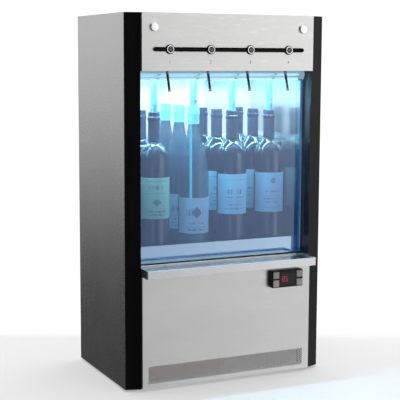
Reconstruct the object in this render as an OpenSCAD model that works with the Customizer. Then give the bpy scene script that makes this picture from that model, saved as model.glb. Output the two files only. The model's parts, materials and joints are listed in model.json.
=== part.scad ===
// Four-bottle wine preservation dispenser: a cooled cabinet with four push buttons and
// spouts in its header, a glass flap, a drip tray and a machine compartment below.
// Pieces are laid out from the middle of the front panels' bottom edge: x to the right,
// y into the cabinet, z up. The module placed() then moves the cabinet onto the origin.

/* [Cabinet] */
// Width over the two side panels
cabinet_w = 530; // [524:1:540]
// Height of the cabinet above its feet
cabinet_h = 890; // [880:1:910]
// Depth from the front panels to the heads of the rear screws
cabinet_d = 340; // [338:1:360]
// Thickness of the folded steel sheets
sheet_t = 1.2; // [1:0.1:1.5]
// Height of the rubber feet
foot_h = 5; // [4:1:8]

/* [Front] */
// Width of the header and of the lower panel
front_w = 456; // [452:1:457]
// Height of the header's lower edge
header_z = 756; // [750:1:760]
// Height of the lower panel's top edge
lower_top_z = 273; // [270:1:274]
// Setback of a corner post at its inner edge
post_inner_y = 7.7; // [6:0.1:9]
// Setback of a corner post at its outer edge
post_outer_y = 19.7; // [18:0.1:22]

/* [Serving] */
// Distance between two bottles, buttons or spouts
column_pitch = 105.5; // [104:0.5:106]
// Height of the button axes
button_z = 806; // [800:1:812]
// Travel of a push button
button_travel = 2.5; // [2:0.5:2.5]
// Height of a spout's tip
spout_tip_z = 709; // [705:1:715]
// Forward reach of a spout's tip from its gland
spout_reach = 14.5; // [12:0.5:16]
// Outside diameter of a spout
spout_d = 6.6; // [6:0.1:7]

/* [Flap and tray] */
// Height of the flap's hinge axis
hinge_z = 747; // [745:1:748]
// Distance of the flap's hinge axis behind the front panels
hinge_y = 46; // [45.5:0.5:46]
// Thickness of the glass
glass_t = 4; // [4:0.5:4.5]
// How far the drip tray stands out in front of the panels
tray_reach = 31; // [25:1:36]
// Height of the drip tray's lip
tray_lip_h = 19; // [18:1:20]

/* [Bottles] */
// Height of the platform that the bottles stand on
platform_z = 337; // [335:1:338]
// Distance of the first row of bottles behind the front panels
first_row_y = 96; // [95:1:97]
// Distance between two rows of bottles
row_pitch = 86; // [84:1:86]
// Diameter of a tall bottle
bottle_d = 75; // [72:1:76]
// Height of a tall bottle
bottle_h = 320; // [315:1:322]

/* [Ventilation] */
// Distance between two holes of the grille
vent_pitch = 9; // [8:0.5:12]
// Diameter of a grille hole
vent_hole_d = 5; // [4:0.5:6]

/* [Hidden] */
$fn = 48;

half_w = cabinet_w / 2;
front_half = front_w / 2;
front_y = tray_reach - (tray_reach + cabinet_d) / 2;
slip = 0.3;
elbow_extra = 1.2;

// corner posts guide the flap between their inner walls; the lining's flange is its stop
post_x = front_half + 0.6;
post_back_y = 62;
stop_x = post_x - 7.6;
stop_y = hinge_y + glass_t / 2 + 0.5;
stop_top_z = hinge_z - 15;
post_wall = 2;
pin_d = 8;
bush_d = 14;
bush_l = 13;

// rear face, inner lining and compartment levels
rear_face_y = cabinet_d - 2;
rear_in_y = rear_face_y - sheet_t;
side_in_x = half_w - sheet_t;
liner_x = stop_x;
liner_t = 1;
liner_front_y = post_back_y + slip;
liner_back_y = 314;
liner_top_z = header_z + 2;
floor_z = lower_top_z;
cold_floor_z = 290;
panel_gap_z = 3;

columns = [for (i = [0:3]) (i - 1.5) * column_pitch];
rows = [for (j = [0:2]) first_row_y + j * row_pitch];
flute_column = 1;

// header fittings
strip_half = 199;
strip_h = 10;
strip_t = 2.2;
boss_d = 22;
bezel_d = 17;
spigot_d = 12.8;
button_d = 9.6;
spigot_l = 6;
switch_y = 11;
cap_x = 198;
cap_z = 857;
cap_d = 20;
gland_y = 16;

// stopper columns above the first row
column_d = 18;
stopper_rise = 21;
dip_top_z = platform_z + bottle_h + 49;
flute_d = 76;
flute_h = bottle_h + 11;
label_turn = 12;

// drip tray
tray_half = front_half - 0.5;
tray_low_z = lower_top_z + 0.3;
tray_top_z = tray_low_z + tray_lip_h + 1;
tray_back_y = hinge_y - glass_t / 2 - 2;
plate_z = tray_top_z - 3.5;
drain_d = 9;

// controller
ctrl_x = 156.3;
ctrl_z = 242.5;
ctrl_w = 87.4;
ctrl_h = 43;
ctrl_out = 16;
ctrl_cut_w = 71;
ctrl_cut_h = 29;
key_w = 16.6;
key_h = 16.6;
key_dx = 33.2;
key_dz = 10.6;
view_half_w = 21.6;
view_half_h = 14;
key_travel = 1.2;

// ventilation grille
vent_x = 211;
vent_low_z = 14;
vent_rows = 5;

// condenser fan
fan_x = -110;
fan_z = 82;
fan_y = 76;
fan_side = 120;
fan_bore = 112;

module placed() {
    translate([0, front_y, foot_h]) children();
}

// box between two limits on each axis
module block(x, y, z) {
    translate([x[0], y[0], z[0]]) cube([x[1] - x[0], y[1] - y[0], z[1] - z[0]]);
}

module both_sides() {
    children();
    mirror([1, 0, 0]) children();
}

function mouth_z(i) = platform_z + (i == flute_column ? flute_h : bottle_h);

// mouth of the bottle in service in column i
module at_mouth(i) {
    translate([columns[i], first_row_y, mouth_z(i)]) children();
}

module at_columns() {
    for (x = columns) translate([x, 0, 0]) children();
}

// cylinder from y = a to y = b
module along_y(a, b, d) {
    translate([0, b, 0]) rotate([90, 0, 0]) cylinder(h = b - a, d = d);
}

// cylinder from x = a to x = b
module along_x(a, b, d) {
    translate([a, 0, 0]) rotate([0, 90, 0]) cylinder(h = b - a, d = d);
}

// round pipe through a list of points, with a slightly thicker ball elbow at each bend
module pipe(points, d) {
    for (i = [0:len(points) - 2]) {
        run = points[i + 1] - points[i];
        length = norm(run);
        translate(points[i])
            rotate([0, acos(run[2] / length), atan2(run[1], run[0])]) cylinder(h = length, d = d);
        if (i > 0) translate(points[i]) sphere(d = d + elbow_extra);
    }
}

/* ---- cabinet ---- */

module base_pan() {
    pan_x = side_in_x;
    color("gray") {
        block([-pan_x, pan_x], [post_back_y + slip, rear_in_y - 2 * sheet_t], [0, 1.5]);
        block([-post_x + slip, post_x - slip], [10, post_back_y + slip], [0, 1.5]);
        block([-stop_x + slip, stop_x - slip], [10, 10 + sheet_t], [1.5, 18]);
    }
}

module foot() {
    rotate([180, 0, 0]) cylinder(h = foot_h, d1 = 32, d2 = 28);
}

module feet() {
    color("black") both_sides() {
        translate([200, 48, 0]) foot();
        translate([225, 305, 0]) foot();
    }
}

module rear_screw_spots() {
    for (side = [-1, 1], z = [30, 250, 470, 690, 862])
        translate([side * (side_in_x - 10), 0, z]) children();
}

module side_panel() {
    difference() {
        union() {
            block([side_in_x, half_w], [post_outer_y + 0.5, rear_face_y], [0, cabinet_h]);
            block([side_in_x - 19, side_in_x], [rear_in_y - 0.2 - sheet_t, rear_in_y - 0.2],
                  [4, cabinet_h - 20]);
        }
        rear_screw_spots() along_y(rear_in_y - 5, rear_face_y, 4.2);
    }
}

module top_panel() {
    top_x = side_in_x;
    color("silver") {
        block([-top_x, top_x], [post_outer_y + 0.7, rear_in_y - slip],
              [cabinet_h - sheet_t, cabinet_h]);
        block([-top_x, top_x], [rear_in_y - slip - sheet_t, rear_in_y - slip],
              [cabinet_h - 18, cabinet_h - sheet_t]);
    }
}

module rear_panel() {
    panel_x = side_in_x;
    slot_w = 150;
    color("silver") difference() {
        block([-panel_x, panel_x], [rear_in_y, rear_face_y], [2, cabinet_h]);
        rear_screw_spots() along_y(rear_in_y - 1, rear_face_y + 1, 4.2);
        for (side = [-1, 1], k = [0:9]) {
            translate([side * 120 - slot_w / 2, rear_in_y - 1, 130 + k * 13])
                cube([slot_w, sheet_t + 2, 5]);
        }
        block([inlet_x - 14, inlet_x + 14], [rear_in_y - 1, rear_face_y + 1],
              [inlet_z - 11, inlet_z + 11]);
        translate([gas_x, 0, gas_z]) along_y(rear_in_y - 1, rear_face_y + 1, 12.4);
    }
}

module rear_screws() {
    color("dimgray") rear_screw_spots() difference() {
        union() {
            along_y(rear_face_y, cabinet_d, 8);
            along_y(rear_face_y - 8, rear_face_y, 3.9);
        }
        translate([-2.5, cabinet_d - 1, -0.4]) cube([5, 2, 0.8]);
        translate([-0.4, cabinet_d - 1, -2.5]) cube([0.8, 2, 5]);
    }
}

module corner_post() {
    outer = [
        [post_x, post_inner_y], [half_w, post_outer_y], [side_in_x - 0.2, post_outer_y + 0.4],
        [side_in_x - 0.2, post_back_y], [post_x, post_back_y]
    ];
    core = [
        [post_x + post_wall, post_inner_y + 3], [side_in_x - 2.5, post_outer_y + 2],
        [side_in_x - 2.5, post_back_y - post_wall], [post_x + post_wall, post_back_y - post_wall]
    ];
    difference() {
        linear_extrude(cabinet_h) polygon(outer);
        translate([0, 0, 3]) linear_extrude(cabinet_h - 6) polygon(core);
        block([post_x - 1, half_w + 1], [post_outer_y + 0.6, post_back_y + 1],
              [cabinet_h - sheet_t - 0.1, cabinet_h + 1]);
        translate([0, hinge_y, hinge_z]) along_x(post_x - 1, post_x + post_wall + 1, bush_d + 0.1);
    }
}

/* ---- header ---- */

module header_fascia() {
    color("silver") difference() {
        union() {
            block([-front_half, front_half], [0, sheet_t], [header_z, cabinet_h]);
            block([-front_half, front_half], [0, post_outer_y + 0.3],
                  [cabinet_h - sheet_t, cabinet_h]);
            block([-front_half, front_half], [0, 34], [header_z, header_z + sheet_t]);
            both_sides() block([front_half - sheet_t, front_half], [0, 30],
                               [header_z, cabinet_h - sheet_t - slip]);
        }
        at_columns() translate([0, 0, button_z]) along_y(-1, sheet_t + 1, spigot_d + 0.4);
        at_columns() translate([0, gland_y, header_z - 1]) cylinder(h = sheet_t + 2, d = 13.2);
        both_sides() translate([cap_x, 0, cap_z]) along_y(-1, sheet_t + 1, 6.2);
    }
}

// flat cap with a chamfered edge, screwed on from behind by its shank
module header_cap() {
    cap_r = cap_d / 2;
    cap_t = 4.8;
    chamfer = 0.8;
    shank_r = 3;
    shank_l = 9;
    rotate([90, 0, 0]) rotate_extrude() polygon([
        [0, -shank_l], [shank_r, -shank_l], [shank_r, 0], [cap_r, 0], [cap_r, cap_t - chamfer],
        [cap_r - chamfer, cap_t], [0, cap_t]
    ]);
}

module header_caps() {
    color("silver") both_sides() translate([cap_x, 0, cap_z]) header_cap();
}

module button_strip() {
    end_x = strip_half - strip_h / 2;
    color([0.06, 0.06, 0.07]) translate([0, 0, button_z]) difference() {
        union() {
            block([-end_x, end_x], [-strip_t, 0], [-strip_h / 2, strip_h / 2]);
            both_sides() translate([end_x, 0, 0]) along_y(-strip_t, 0, strip_h);
            at_columns() along_y(-strip_t - 0.6, 0, boss_d);
        }
        at_columns() along_y(-strip_t - 2, 1, spigot_d + 0.2);
    }
}

module button_bezel() {
    bore = button_d + 0.4;
    front = -strip_t - 0.6;
    difference() {
        union() {
            along_y(front - 2.4, front, bezel_d);
            along_y(front, spigot_l, spigot_d);
        }
        along_y(front - 3, spigot_l + 1, bore);
    }
}

module button_bezels() {
    color("gainsboro") at_columns() translate([0, 0, button_z]) button_bezel();
}

module button(i) {
    color([0.1, 0.1, 0.11]) translate([columns[i], 0, button_z]) {
        along_y(-6.4, switch_y - slip - button_travel, button_d);
        along_y(spigot_l + slip, spigot_l + 1.7, spigot_d);
    }
}

module button_board() {
    color("darkgreen") {
        block([-190, 190], [14, 15.6], [button_z - 16, button_z + 16]);
        at_columns() translate([0, 0, button_z]) {
            block([-3, 3], [switch_y + 0.6, 14], [-3, 3]);
            along_y(switch_y, switch_y + 0.6, 3.4);
        }
        for (x = [-2:2]) translate([x * 0.9 * column_pitch, 0, button_z - 12])
            along_y(sheet_t, 14, 6);
    }
}

spout_drop = header_z - spout_tip_z;
spout_lean = atan(spout_reach / spout_drop);
spout_l = norm([spout_reach, spout_drop]);

// frame of one spout: its gland is the origin and the tube runs down along -z
module along_spout() {
    translate([0, gland_y, header_z]) rotate([-spout_lean, 0, 0]) children();
}

module spouts() {
    upper_l = 20;
    color("gainsboro") at_columns() along_spout() difference() {
        union() {
            translate([0, 0, -spout_l]) cylinder(h = spout_l + upper_l, d = spout_d);
            translate([0, 0, -spout_l]) cylinder(h = 1.6, d = spout_d + 2.6);
        }
        translate([0, 0, -spout_l - 1]) cylinder(h = spout_l + upper_l + 2, d = spout_d - 2);
    }
}

module spout_glands() {
    color("black") at_columns() difference() {
        union() {
            translate([0, gland_y, header_z]) cylinder(h = 4.2, d = 12.8);
            translate([0, gland_y, header_z + sheet_t]) cylinder(h = 3, d = 18);
        }
        along_spout() translate([0, 0, -4]) cylinder(h = 16, d = spout_d + 0.6);
    }
}

valve_low_z = header_z + 16;

module wine_valves() {
    color("dimgray") at_columns() {
        block([-12, 12], [17, 50], [valve_low_z, valve_low_z + 14]);
        for (x = [-12, 8]) block([x, x + 4], [22, 33], [header_z + sheet_t, valve_low_z]);
        translate([0, 34, valve_low_z + 14]) cylinder(h = 34, d = 26);
        translate([0, 34, valve_low_z + 48]) cylinder(h = 4, d = 18);
    }
}

module wine_lines() {
    line_z = valve_low_z + 7;
    color("lightcyan") at_columns()
        pipe([[0, 50, line_z], [0, first_row_y, line_z], [0, first_row_y, dip_top_z]], 7);
}

// clear sleeve that hangs from the ceiling and holds the bung down on the bottle
module stopper_column(length) {
    difference() {
        union() {
            cylinder(h = length, d = column_d);
            translate([0, 0, length - 3]) cylinder(h = 3, d = 30);
        }
        translate([0, 0, -1]) cylinder(h = length + 2, d = column_d - 6);
    }
}

module stopper_columns() {
    color([0.55, 0.9, 0.95, 0.6]) for (i = [0:3])
        at_mouth(i) translate([0, 0, stopper_rise])
            stopper_column(liner_top_z - mouth_z(i) - stopper_rise);
}

// ribbed rubber bung, drilled for the dip tube
module stopper() {
    difference() {
        union() {
            translate([0, 0, -18]) cylinder(h = 20, d1 = 17.4, d2 = 18.6);
            translate([0, 0, 2]) cylinder(h = stopper_rise - 2, d = 15);
            for (k = [0:3]) translate([0, 0, 2.4 + k * 4.6]) cylinder(h = 2.4, d = 21);
        }
        translate([0, 0, -20]) cylinder(h = 50, d = 6.4);
    }
}

module stoppers() {
    color("lightcyan") for (i = [0:3]) at_mouth(i) stopper();
}

module dip_tubes() {
    low_z = platform_z + 16;
    color("lightcyan") at_columns() translate([0, first_row_y, low_z]) difference() {
        cylinder(h = dip_top_z - low_z, d = 6);
        translate([0, 0, -1]) cylinder(h = dip_top_z - low_z + 2, d = 4.4);
    }
}

module gas_manifold() {
    bar_z = header_z + 60;
    color("goldenrod") {
        block([-190, 190], [128, 146], [bar_z, bar_z + 18]);
        at_columns() {
            translate([14, 137, bar_z + 18]) cylinder(h = 26, d = 20);
            pipe([[14, 128, bar_z + 9], [14, first_row_y, bar_z + 9],
                  [14, first_row_y, liner_top_z]], 5);
        }
        for (x = [-108, 100]) block([x, x + 8], [130, 144], [liner_top_z + liner_t, bar_z]);
    }
}

gas_x = 205;
gas_z = 100;
inlet_x = -205;
inlet_z = 70;

module gas_regulator() {
    color("silver") {
        translate([gas_x, 0, gas_z]) along_y(262, 296, 34);
        translate([gas_x, 0, gas_z]) along_y(296, 312, 14);
        translate([gas_x, 279, gas_z]) cylinder(h = 34, d = 24);
        pipe([[gas_x, 279, gas_z + 34], [gas_x, 279, gas_z + 60], [240, 322, gas_z + 60],
              [240, 322, header_z + 69], [240, 137, header_z + 69], [190, 137, header_z + 69]], 6);
    }
}

module gas_inlet() {
    color("silver") translate([gas_x, 0, gas_z]) difference() {
        union() {
            along_y(rear_face_y, cabinet_d, 18);
            along_y(312, rear_face_y, 12);
        }
        along_y(cabinet_d - 16, cabinet_d + 1, 6.1);
    }
}

module light_bar() {
    color("white") block([-200, 200], [62.5, 78], [liner_top_z - 12, liner_top_z]);
}

/* ---- glass flap ---- */

pane_half = front_half - 2;
pane_low_z = tray_top_z + 3;

module pane_solid() {
    block([-pane_half, pane_half], [hinge_y - glass_t / 2, hinge_y + glass_t / 2],
          [pane_low_z, hinge_z]);
}

module glass_pane() {
    color([0.6, 0.85, 0.95, 0.35]) pane_solid();
}

module hinge_rail() {
    rail_half = front_half - 1;
    color("gainsboro") difference() {
        union() {
            translate([0, hinge_y, hinge_z]) {
                along_x(-rail_half, rail_half, 18);
                along_x(-post_x - bush_l + 2, post_x + bush_l - 2, pin_d);
            }
            block([-rail_half, rail_half], [hinge_y - 4.5, hinge_y + 4.5],
                  [hinge_z - 12, hinge_z]);
        }
        pane_solid();
    }
}

module hinge_bushes() {
    color("dimgray") both_sides() translate([0, hinge_y, hinge_z]) difference() {
        along_x(post_x, post_x + bush_l, bush_d);
        along_x(post_x - 1, post_x + bush_l + 1, pin_d + 0.1);
    }
}

/* ---- cold compartment ---- */

// side sheet with a flange along its front edge, on which the closed flap rests
module liner_side() {
    block([liner_x, liner_x + liner_t], [liner_front_y, liner_back_y],
          [cold_floor_z, liner_top_z - 0.1]);
    block([liner_x, liner_x + liner_t], [stop_y, liner_front_y], [cold_floor_z, stop_top_z]);
    block([liner_x, post_x - slip], [stop_y, stop_y + liner_t], [cold_floor_z, stop_top_z]);
}

module liner_back() {
    color("aliceblue") {
        block([-liner_x - liner_t, liner_x + liner_t], [liner_back_y + 0.1, liner_back_y + 1.1],
              [cold_floor_z, liner_top_z]);
        difference() {
            block([-liner_x - liner_t, liner_x + liner_t], [hinge_y + 12, liner_back_y + 1.1],
                  [liner_top_z, liner_top_z + liner_t]);
            at_columns() translate([0, first_row_y, liner_top_z - 1]) cylinder(h = 4, d = 7.4);
            at_columns() translate([14, first_row_y, liner_top_z - 1]) cylinder(h = 4, d = 5.4);
        }
    }
}

module foam_panels() {
    foam_x = [liner_x + liner_t, side_in_x];
    color("khaki") {
        both_sides() block(foam_x, [liner_front_y + slip, 300], [floor_z, header_z - 2]);
        block([-205, 205], [328, rear_in_y], [cold_floor_z, header_z - 2]);
        block([-liner_x, liner_x], [liner_front_y + slip, 300], [floor_z, cold_floor_z - liner_t]);
    }
}

module bottle_platform() {
    shelf_half = liner_x - 1;
    front = hinge_y + 7;
    color("aliceblue") {
        block([-shelf_half + 1, shelf_half - 1], [front, liner_back_y - 2],
              [platform_z - 1.5, platform_z]);
        block([-shelf_half + 1, shelf_half - 1], [front, front + sheet_t],
              [cold_floor_z + 0.5, platform_z - 1.5]);
        both_sides() block([shelf_half - 1 - sheet_t, shelf_half - 1],
                           [post_back_y + 2, liner_back_y - 2],
                           [cold_floor_z, platform_z - 1.5]);
    }
}

module compartment_floor() {
    floor_half = post_x - slip;
    color("silver") {
        block([-floor_half, floor_half], [14.5, post_back_y + 0.1], [floor_z - sheet_t, floor_z]);
        block([-side_in_x, side_in_x], [post_back_y + 0.1, 300], [floor_z - sheet_t, floor_z]);
    }
}

module liner_floor() {
    color("aliceblue") block([-liner_x, liner_x], [liner_front_y, liner_back_y],
                             [cold_floor_z - liner_t, cold_floor_z]);
}

/* ---- drip tray ---- */

module drip_tray() {
    wall = 1.5;
    inner = tray_half - 6;
    color("silver") difference() {
        block([-tray_half, tray_half], [-tray_reach, tray_back_y], [tray_low_z, tray_top_z]);
        block([-inner, inner], [-tray_reach + 6, tray_back_y - 3],
              [tray_low_z + wall, tray_top_z + 1]);
        // ledge for the drip plate
        block([-inner - 3, inner + 3], [-tray_reach + 3, tray_back_y - 1.5],
              [plate_z - 1.2, tray_top_z + 1]);
        // undercut behind the lip
        block([-tray_half - 1, tray_half + 1], [-tray_reach + 6, -1],
              [tray_low_z - 1, tray_low_z + 0.7]);
    }
}

module drip_plate() {
    half = tray_half - 3.4;
    color("dimgray") difference() {
        block([-half, half], [-tray_reach + 3.4, tray_back_y - 1.9], [plate_z - 1.2, plate_z]);
        at_columns() translate([0, 9, plate_z - 2]) cylinder(h = 3, d = drain_d);
    }
}

/* ---- lower front and controller ---- */

module vent_holes() {
    column_step = vent_pitch * sqrt(3) / 2;
    count = floor(vent_x / column_step);
    for (i = [-count:count], j = [0:vent_rows - 1]) {
        shift = (i % 2 == 0) ? 0 : vent_pitch / 2;
        if (j < vent_rows - 1 || shift == 0)
            translate([i * column_step, vent_low_z + vent_hole_d / 2 + j * vent_pitch + shift])
                circle(d = vent_hole_d, $fn = 16);
    }
}

module lower_front_panel() {
    color("silver") {
        translate([0, sheet_t, 0]) rotate([90, 0, 0]) linear_extrude(sheet_t) difference() {
            translate([-front_half, panel_gap_z]) square([front_w, lower_top_z - panel_gap_z]);
            translate([ctrl_x - ctrl_cut_w / 2, ctrl_z - ctrl_cut_h / 2])
                square([ctrl_cut_w, ctrl_cut_h]);
            vent_holes();
        }
        block([-front_half, front_half], [sheet_t, 14], [lower_top_z - sheet_t, lower_top_z]);
        block([-front_half, front_half], [sheet_t, 8.5], [panel_gap_z, panel_gap_z + sheet_t]);
        both_sides() block([front_half - sheet_t, front_half], [sheet_t, 14],
                           [panel_gap_z, lower_top_z]);
    }
}

module at_controller() {
    translate([ctrl_x, 0, ctrl_z]) children();
}

function key_place(i) = [(i < 2 ? -1 : 1) * key_dx, 0, (i % 2 == 0 ? 1 : -1) * key_dz];

module controller_case() {
    wall = 2.5;
    rim = 1.5;
    gap = 0.3;
    color([0.05, 0.05, 0.05]) at_controller() difference() {
        union() {
            block([-ctrl_w / 2, ctrl_w / 2], [-ctrl_out, 0], [-ctrl_h / 2, ctrl_h / 2]);
            block([-ctrl_cut_w / 2 + 0.4, ctrl_cut_w / 2 - 0.4], [0, 56],
                  [-ctrl_cut_h / 2 + 0.4, ctrl_cut_h / 2 - 0.4]);
        }
        block([-ctrl_w / 2 + rim, ctrl_w / 2 - rim], [-ctrl_out + wall, -wall],
              [-ctrl_h / 2 + rim, ctrl_h / 2 - rim]);
        block([-view_half_w, view_half_w], [-ctrl_out - 1, -ctrl_out + wall + 1],
              [-view_half_h, view_half_h]);
        for (i = [0:3]) translate(key_place(i))
            block([-key_w / 2 - gap, key_w / 2 + gap], [-ctrl_out - 1, -ctrl_out + wall + 1],
                  [-key_h / 2 - gap, key_h / 2 + gap]);
    }
}

module controller_display() {
    inset = 0.2;
    flange = 1.4;
    color([0.35, 0.02, 0.05]) at_controller() {
        block([-view_half_w + inset, view_half_w - inset], [-ctrl_out + 0.4, -ctrl_out + 3.4],
              [-view_half_h + inset, view_half_h - inset]);
        block([-view_half_w - flange, view_half_w + flange], [-ctrl_out + 2.5, -ctrl_out + 3.4],
              [-view_half_h - flange, view_half_h + flange]);
    }
}

module key(i) {
    flange_y = -ctrl_out + 2.5 + 0.3;
    color("gray") at_controller() translate(key_place(i)) {
        block([-key_w / 2, key_w / 2], [-ctrl_out - key_travel - 0.2, flange_y],
              [-key_h / 2, key_h / 2]);
        block([-key_w / 2 - 0.4, key_w / 2 + 0.4], [flange_y, flange_y + 1.2],
              [-key_h / 2 - 0.8, key_h / 2 + 0.8]);
    }
}

/* ---- machine compartment ---- */

module power_supply() {
    color("silver") {
        block([20, 170], [200, 320], [8, 62]);
        for (x = [30, 160], y = [212, 308]) translate([x, y, 1.5]) cylinder(h = 6.5, d = 9);
    }
}

// appliance socket: a flanged housing with a recess and three flat pins
module power_inlet() {
    color("black") translate([inlet_x, 0, inlet_z]) {
        difference() {
            union() {
                block([-25, 25], [rear_face_y, cabinet_d], [-15, 15]);
                block([-13.6, 13.6], [312, rear_face_y], [-10.6, 10.6]);
            }
            block([-12, 12], [322, cabinet_d + 1], [-8, 8]);
        }
        for (x = [-7, 0, 7]) block([x - 2, x + 2], [321, 334], [-1, 1]);
    }
}

module compressor() {
    color([0.12, 0.12, 0.13]) translate([-130, 235, 1.5]) {
        block([-75, 75], [-60, 60], [8, 11]);
        for (x = [-62, 62], y = [-48, 48]) translate([x, y, 0]) cylinder(h = 8, d = 20);
        translate([0, 0, 11]) cylinder(h = 105, d = 118);
        translate([0, 0, 116]) intersection() {
            cylinder(h = 40, d = 118);
            translate([0, 0, -60]) sphere(r = 84.1, $fn = 96);
        }
        translate([0, -59, 50]) block([-22, 22], [-14, 8], [0, 44]);
    }
}

module condenser() {
    low = 1.5;
    high = 150;
    color("peru") {
        for (k = [0:24]) block([-206 + k * 8, -205 + k * 8], [22, 60], [low, high]);
        for (y = [32, 50], z = [40, 72, 104, 136]) translate([0, y, z]) along_x(-210, -8, 8);
    }
}

module condenser_fan_frame() {
    hub_d = 44;
    depth = 36;
    color([0.1, 0.1, 0.1]) translate([fan_x, fan_y, fan_z]) {
        difference() {
            block([-fan_side / 2, fan_side / 2], [0, depth], [-fan_side / 2, fan_side / 2]);
            along_y(-1, depth + 1, fan_bore);
            for (x = [-52.5, 52.5], z = [-52.5, 52.5]) translate([x, 0, z]) along_y(-1, depth + 1, 4.4);
        }
        along_y(26, depth, hub_d);
        along_y(8, 26, 4);
        for (a = [45:90:315]) rotate([0, a, 0]) block([20, fan_bore / 2 + 1], [depth - 6, depth], [-2, 2]);
    }
    // bracket down to the base
    color("gray") translate([fan_x, fan_y, 0])
        block([-fan_side / 2, fan_side / 2], [2, 30], [1.5, fan_z - fan_side / 2]);
}

module condenser_fan_rotor() {
    blades = 7;
    color([0.2, 0.2, 0.2]) translate([fan_x, fan_y, fan_z]) difference() {
        union() {
            along_y(6, 25, 42);
            for (i = [0:blades - 1]) rotate([0, i * 360 / blades, 0])
                translate([0, 15, 0]) rotate([0, 0, 35]) block([-10, 10], [-0.9, 0.9], [18, 53]);
        }
        along_y(7.9, 27, 4.08);
    }
}

module refrigerant_pipes() {
    color("peru") {
        // discharge line from the compressor to the condenser
        pipe([[-81, 203, 60], [-20, 203, 60], [-20, 66, 60], [-20, 66, 136], [-2, 66, 136],
              [-2, 50, 136], [-8, 50, 136]], 6);
        // suction line from the evaporator down the rear channel
        pipe([[-180, 321, 420], [-235, 321, 420], [-235, 321, 95], [-195, 300, 95],
              [-178, 269, 95]], 8);
        // liquid line, filter drier and thin line up to the evaporator
        pipe([[-8, 32, 40], [4, 32, 40], [4, 122, 40]], 6);
        translate([4, 0, 40]) along_y(120, 190, 18);
        pipe([[4, 188, 40], [4, 326, 40], [-246, 326, 40], [-246, 321, 700], [-180, 321, 700]], 4);
    }
}

module evaporator() {
    color("gainsboro") {
        block([-190, 190], [liner_back_y + 1.4, liner_back_y + 3.4], [400, 720]);
        for (k = [0:7]) translate([0, liner_back_y + 7, 420 + k * 40]) along_x(-180, 180, 8);
    }
}

/* ---- bottles ---- */

// half outline of a tall bottle with high round shoulders, base at z = 0
module tall_outline() {
    r = bottle_d / 2;
    neck_r = 13.6;
    shoulder_z = bottle_h - 117;
    neck_low_z = bottle_h - 70;
    rise = neck_low_z - shoulder_z;
    arc = [for (a = [0:10:90]) [neck_r + 3 + (r - neck_r - 3) * cos(a), shoulder_z + rise * 0.82 * sin(a)]];
    polygon(concat([[0, 0], [r - 3, 0], [r, 3]], arc, [[neck_r, neck_low_z], [neck_r, bottle_h],
                   [0, bottle_h]]));
}

// half outline of a flute bottle with one long slope from body to neck
module flute_outline() {
    r = flute_d / 2;
    neck_r = 12.6;
    slope_z = 160;
    neck_low_z = flute_h - 50;
    steps = 8;
    slope = [for (k = [0:steps]) let (u = k / steps)
        [neck_r + (r - neck_r) * (1 + cos(180 * u)) / 2, slope_z + (neck_low_z - slope_z) * u]];
    polygon(concat([[0, 0], [r - 3, 0], [r, 3]], slope, [[neck_r, flute_h], [0, flute_h]]));
}

module tall_places() {
    for (i = [0:3], y = rows)
        if (i != flute_column) translate([columns[i], y, platform_z]) children();
}

module flute_places() {
    for (y = rows) translate([columns[flute_column], y, platform_z]) children();
}

// mouth for the bung and channel for the dip tube, in the first row only
module mouths() {
    at_columns() translate([0, first_row_y, platform_z]) {
        translate([0, 0, 12]) cylinder(h = 400, d = 7);
    }
    for (i = [0:3]) at_mouth(i) translate([0, 0, -20]) cylinder(h = 30, d = 19);
}

module tall_bottles() {
    color([0.12, 0.16, 0.2]) difference() {
        tall_places() rotate_extrude($fn = 64) tall_outline();
        mouths();
    }
}

module flute_bottles() {
    color([0.12, 0.16, 0.2]) difference() {
        flute_places() rotate_extrude($fn = 64) flute_outline();
        mouths();
    }
}

module capsule(top, length, r) {
    difference() {
        translate([0, 0, top - length]) cylinder(h = length, r = r);
        translate([0, 0, top - length - 1]) cylinder(h = length + 2, r = r - 0.6);
    }
}

module bottle_capsules() {
    color([0.15, 0.15, 0.2]) tall_places() capsule(bottle_h, 69, 14.3);
    color([0.6, 0.9, 0.95]) flute_places() capsule(flute_h, 42, 13.3);
}

// paper label wrapped round the front of a bottle, which stands turned a little to the left
module label(d, low, high, spread) {
    reach = d;
    rotate([0, 0, -label_turn]) intersection() {
        difference() {
            translate([0, 0, low]) cylinder(h = high - low, d = d + 0.6);
            translate([0, 0, low - 1]) cylinder(h = high - low + 2, d = d + 0.1);
        }
        translate([0, 0, low - 1]) linear_extrude(high - low + 2)
            polygon([[0, 0], [-reach * sin(spread), -reach * cos(spread)], [0, -2 * reach],
                     [reach * sin(spread), -reach * cos(spread)]]);
    }
}

module bottle_labels() {
    color("aliceblue") {
        tall_places() label(bottle_d, 64, 164, 78);
        flute_places() label(flute_d, 22, 110, 78);
    }
}

placed() base_pan();
placed() feet();
placed() color("silver") mirror([1, 0, 0]) side_panel();  // left_side_panel
placed() color("silver") side_panel();  // right_side_panel
placed() top_panel();
placed() rear_panel();
placed() rear_screws();
placed() color("black") mirror([1, 0, 0]) corner_post();  // left_corner_post
placed() color("black") corner_post();  // right_corner_post
placed() header_fascia();
placed() header_caps();
placed() button_strip();
placed() button_bezels();
placed() button(0);  // button_1
placed() button(1);  // button_2
placed() button(2);  // button_3
placed() button(3);  // button_4
placed() button_board();
placed() spouts();
placed() spout_glands();
placed() wine_valves();
placed() wine_lines();
placed() stopper_columns();
placed() stoppers();
placed() dip_tubes();
placed() gas_manifold();
placed() gas_regulator();
placed() gas_inlet();
placed() light_bar();
placed() glass_pane();
placed() hinge_rail();
placed() hinge_bushes();
placed() color("aliceblue") mirror([1, 0, 0]) liner_side();  // liner_left
placed() color("aliceblue") liner_side();  // liner_right
placed() liner_back();
placed() liner_floor();
placed() foam_panels();
placed() bottle_platform();
placed() compartment_floor();
placed() drip_tray();
placed() drip_plate();
placed() lower_front_panel();
placed() controller_case();
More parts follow.
